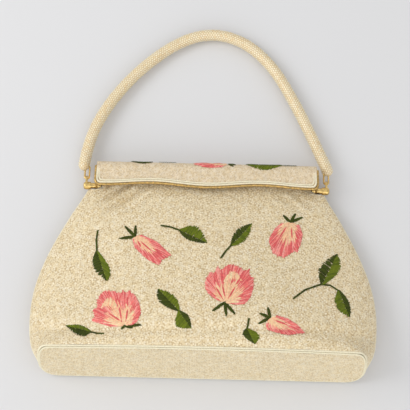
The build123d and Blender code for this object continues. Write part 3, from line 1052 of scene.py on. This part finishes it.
coral = Threads("embroidery_coral", front_spot, CORAL)
peach = Threads("embroidery_peach", front_spot, PEACH)
dark = Threads("embroidery_dark_leaf", front_spot, LEAF_DARK)
light = Threads("embroidery_light_leaf", front_spot, LEAF_LIGHT)

# Leaves: base, tip, belly of the dark half, belly of the light half
LEAVES = (
    ((97, 251), (107, 281), (93.5, 266), (109, 268)),
    ((179.6, 230.4), (207, 243), (189, 240), (196, 227.5)),
    ((231, 245.7), (251.7, 224), (236.5, 231), (245, 240)),
    ((90.6, 332), (66, 325.5), (80, 335.5), (81, 325.5)),
    ((179, 311), (158, 289), (161, 302.5), (174.5, 297)),
    ((179, 311), (191, 328), (188.5, 316.5), (177, 325)),
    ((247, 329), (255, 344), (243.6, 335), (258, 335)),
    ((322, 285), (337, 254), (320.5, 268), (338, 271)),
    ((338.6, 290.4), (349.4, 317.6), (349, 303), (336, 305)),
)
STEMS = (
    ((98, 230), (96.5, 240), (97, 251)),
    ((160.5, 225.6), (170, 227), (179.6, 230.4)),
    ((220.6, 258.6), (226, 251), (231, 245.7)),
    ((104, 333.6), (97, 333.6), (90.6, 332)),
    ((249, 318), (248, 324), (247, 329)),
    ((293, 299), (305, 290), (321, 284.5), (330, 285.5), (338.6, 291)),
)
# Flowers: base, outline from one side of the base round to the other, folds, pale hearts, sepal tips
FLOWERS = (
    (
        (125, 325.5),
        (
            (110, 326), (97.5, 322.5), (92, 321), (95, 316), (93, 310), (97.5, 307.5), (97, 300),
            (102.5, 292.5), (111, 290.8), (118.8, 293), (122, 293.8), (123, 290.8), (126, 293.8),
            (129.5, 290.8), (135, 296), (139.5, 303.8), (141, 312.5), (137.5, 321), (132.5, 325),
        ),
        (
            ((121, 294), (119, 305), (122, 322)),
            ((98, 308), (108, 313), (122, 322)),
            ((127, 294), (128, 308), (126, 322)),
        ),
        (((101.5, 309), (110, 296), (119, 309.5)),),
        ((121, 329), (132.5, 328), (142, 325)),
    ),
    (
        (225, 302.5),
        (
            (215, 298.8), (207.5, 292.5), (205, 287.5), (206, 279), (210.5, 272), (214.5, 273.8),
            (217.5, 266.5), (220.8, 270.5), (227.5, 265.5), (232.5, 265), (240, 267.5), (243.8, 271),
            (249.5, 269.5), (248.8, 275), (253.8, 278), (253.3, 287.5), (250, 297.5), (245, 303.8),
            (237.5, 304.5),
        ),
        (
            ((214, 274), (215, 286), (223, 300)),
            ((221, 271), (222, 284), (225, 298)),
            ((244, 272), (236, 286), (228, 299)),
        ),
        (((224, 282.5), (233, 269.5), (242.5, 281)),),
        ((212, 311), (226, 316.5), (235, 314.6)),
    ),
    (
        (135, 237),
        (
            (133, 240), (135, 247.5), (142.5, 255), (150, 261), (158.8, 265), (162.5, 260),
            (170.8, 255), (165, 250), (157.5, 242.5), (150, 238.8), (142.5, 235.5),
        ),
        (((162, 259), (152, 252), (140, 241)), ((148, 259), (142, 249), (137, 240))),
        (),
        ((125, 226), (136, 225), (119, 238.5)),
    ),
    (
        (290, 222.5),
        (
            (281, 224), (275, 228.8), (270, 237.5), (269, 242.5), (272.5, 252.5), (277.5, 256),
            (283.8, 257.5), (290, 253.8), (295, 251), (297.5, 252.5), (301, 242.5), (302.5, 235),
            (299.5, 226),
        ),
        (((273, 250), (278, 240), (287, 226)), ((290, 253), (292, 240), (291, 227))),
        (),
        ((283, 215), (296, 213.6), (303, 217.5)),
    ),
    (
        (270, 318),
        (
            (266, 325), (267.5, 330), (277.5, 333), (287.5, 335), (304.5, 333), (297.5, 325),
            (287.5, 318.8), (277.5, 316),
        ),
        (((300, 331), (288, 325), (274, 320)),),
        (),
        ((268, 307), (259.5, 313), (258, 323.5)),
    ),
)
SEPAL_WIDTH = 3.0
for leaf_points in LEAVES:
    leaf(dark, light, *leaf_points)
for route in STEMS:
    stem(dark, route)
for base, outline, folds, hearts, sepals in FLOWERS:
    flower(coral, peach, base, outline, folds, hearts)
    for tip in sepals:
        spike(dark, base, tip, SEPAL_WIDTH)
for threads in (coral, peach, dark, light):
    threads.finish("bag")

# Embroidery over the lid's rounded top, as distance across and run up from the face, in millimetres
lid_coral = Threads("lid_embroidery_coral", lid_spot, CORAL)
lid_peach = Threads("lid_embroidery_peach", lid_spot, PEACH)
lid_dark = Threads("lid_embroidery_dark_leaf", lid_spot, LEAF_DARK)
lid_light = Threads("lid_embroidery_light_leaf", lid_spot, LEAF_LIGHT)
LID_STEM_WIDTH = 0.9
LID_SEPAL_WIDTH = 1.8
LID_LEFT_LEAF = ((-45, 8.5), (-63, 9.5), (-54, 13), (-54, 5.0))
LID_LEFT_STEM = ((-40, 9), (-33, 8.4), (-26, 8.2))
LID_FLOWER_BASE = (17, 7.5)
LID_FLOWER_OUTLINE = (
    (12, 2.6), (4, 1.8), (-3, 2.4), (-7, 4.0), (-11.3, 5.2),
    (-9, 8), (-11, 11), (-5, 13.5), (4, 14), (12, 12),
)
LID_FLOWER_FOLDS = (((-8, 8), (4, 7.8), (14, 7.6)),)
LID_SEPAL_BASE = (17.5, 7)
LID_SEPAL_TIPS = ((22, 3.6), (24, 6.2), (23, 10.5))
LID_RIGHT_LEAF = ((62, 7.2), (32, 7.6), (46, 13.5), (47, 1.2))
LID_RIGHT_STEM = ((62, 7.2), (68, 7.0), (73.6, 6.6))
leaf(lid_light, lid_dark, *LID_LEFT_LEAF)
stem(lid_dark, LID_LEFT_STEM, LID_STEM_WIDTH)
flower(lid_coral, lid_peach, LID_FLOWER_BASE, LID_FLOWER_OUTLINE, LID_FLOWER_FOLDS, ())
for tip in LID_SEPAL_TIPS:
    spike(lid_dark, LID_SEPAL_BASE, tip, LID_SEPAL_WIDTH)
leaf(lid_dark, lid_light, *LID_RIGHT_LEAF)
stem(lid_dark, LID_RIGHT_STEM, LID_STEM_WIDTH)
for threads in (lid_coral, lid_peach, lid_dark, lid_light):
    threads.finish("lid")

# Floor, light and camera
FLOOR_DROP = 0.0012
FLOOR_SIZE = 8
FLOOR_COLOUR = (0.70, 0.70, 0.708)
FLOOR_ROUGHNESS = 0.9
WORLD_STRENGTH = 0.78
FILL_STRENGTH, FILL_SPREAD, FILL_DIRECTION = 0.72, 70, (-0.05, 0.9, -0.5)
KEY_POWER, KEY_SIZE = 6.0, 0.75
KEY_PLACE = Vector((-1.05, 0.10, 0.98))
KEY_AIM = Vector((0, 0.05, 0.02))
SENSOR_WIDTH = 36.0
CLIP_START = 0.01
bpy.ops.mesh.primitive_plane_add(size=FLOOR_SIZE, location=(0, 0, -FLOOR_DROP))
floor = bpy.context.object
floor.name = "floor"
floor.data.materials.append(paint("floor", FLOOR_COLOUR, FLOOR_ROUGHNESS, vary=0.0))

scene = bpy.context.scene
scene.view_settings.view_transform = "Standard"
world = bpy.data.worlds.new("studio")
scene.world = world
world.use_nodes = True
world.node_tree.nodes["Background"].inputs["Color"].default_value = (1, 1, 1, 1)
world.node_tree.nodes["Background"].inputs["Strength"].default_value = WORLD_STRENGTH


def soft_sun(name, strength, spread, direction):
    """A distant lamp with soft shadows."""
    lamp = bpy.data.lights.new(name, "SUN")
    lamp.energy = strength
    lamp.angle = radians(spread)
    holder = bpy.data.objects.new(name, lamp)
    holder.rotation_euler = Vector(direction).to_track_quat("-Z", "Y").to_euler()
    scene.collection.objects.link(holder)


soft_sun("fill", FILL_STRENGTH, FILL_SPREAD, FILL_DIRECTION)
panel = bpy.data.lights.new("key", "AREA")
panel.energy = KEY_POWER
panel.size = KEY_SIZE
key = bpy.data.objects.new("key", panel)
key.location = KEY_PLACE
key.rotation_euler = (KEY_AIM - KEY_PLACE).to_track_quat("-Z", "Y").to_euler()
scene.collection.objects.link(key)

lens = bpy.data.cameras.new("camera")
lens.sensor_width = SENSOR_WIDTH
lens.lens = FOCAL_PX / PICTURE * lens.sensor_width
lens.clip_start = CLIP_START
camera = bpy.data.objects.new("camera", lens)
camera.matrix_world = Matrix((
    (RIGHT[0], UP[0], BACK[0], EYE[0] * MM),
    (RIGHT[1], UP[1], BACK[1], EYE[1] * MM),
    (RIGHT[2], UP[2], BACK[2], EYE[2] * MM),
    (0, 0, 0, 1),
))
scene.collection.objects.link(camera)
scene.camera = camera
